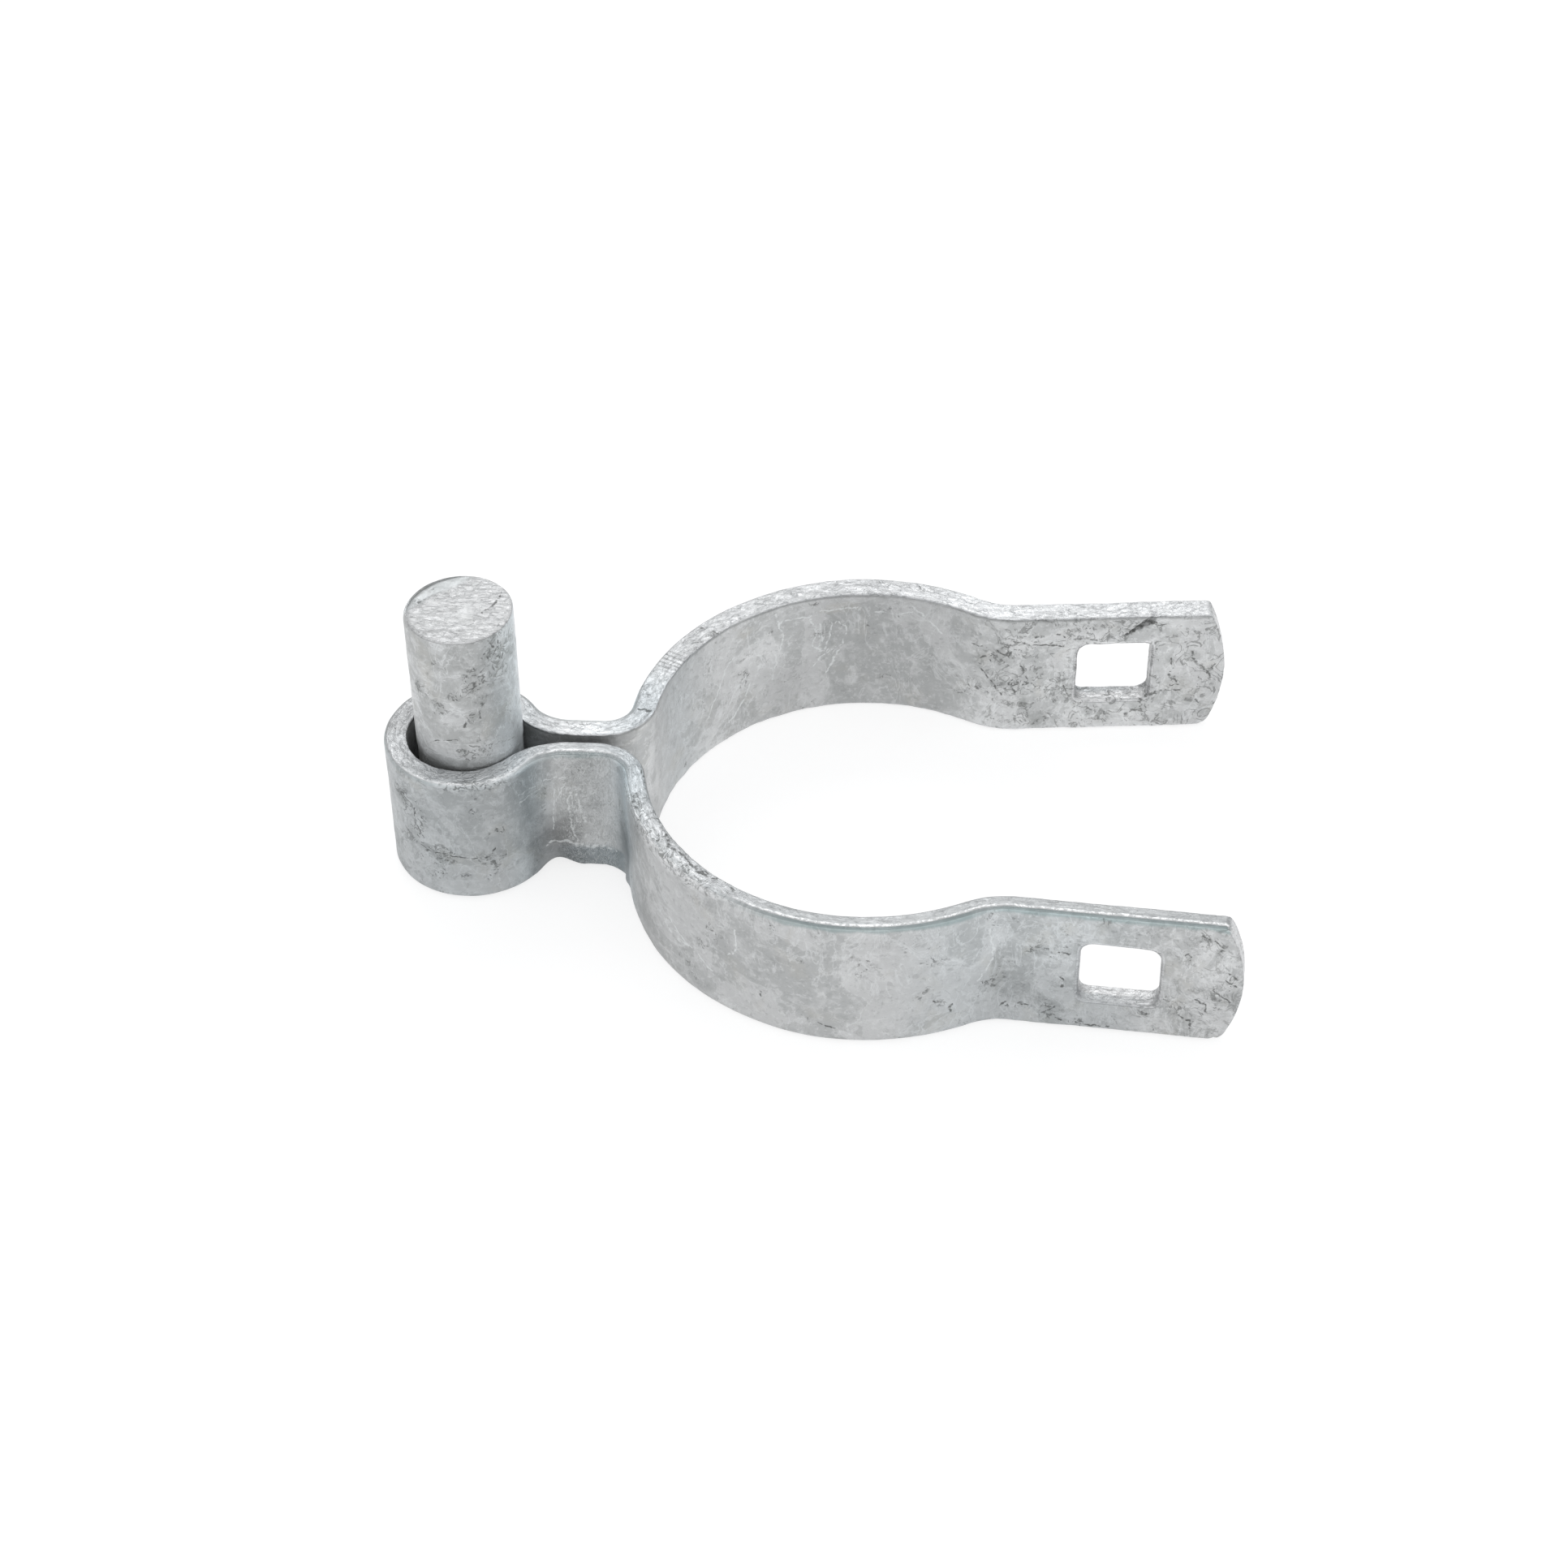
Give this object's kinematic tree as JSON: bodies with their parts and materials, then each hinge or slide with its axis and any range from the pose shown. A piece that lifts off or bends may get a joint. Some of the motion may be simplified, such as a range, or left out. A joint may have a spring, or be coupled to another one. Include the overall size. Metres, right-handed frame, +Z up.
{
  "type": "post hinge",
  "caption": "Post hinge for a chain link gate: a galvanised strap folded round an upright pin, with a round saddle that clamps a post and flat arms with square bolt holes.",
  "frame": {"origin": "the clamped post's axis, at the height of the strap's lower edge", "axes": "+X towards the arms' ends, +Y across the arms, +Z up along the pin"},
  "size_m": [0.1266, 0.0764, 0.0475],
  "materials": {
    "hinge_strap": "hot-dip galvanised, mottled grey with brighter sheared edges",
    "hinge_pin": "hot-dip galvanised, mottled grey with a crinkled bright top"
  },
  "bodies": {
    "root": {"hinge_strap": "hinge_strap", "hinge_pin": "hinge_pin"}
  },
  "joints": []
}
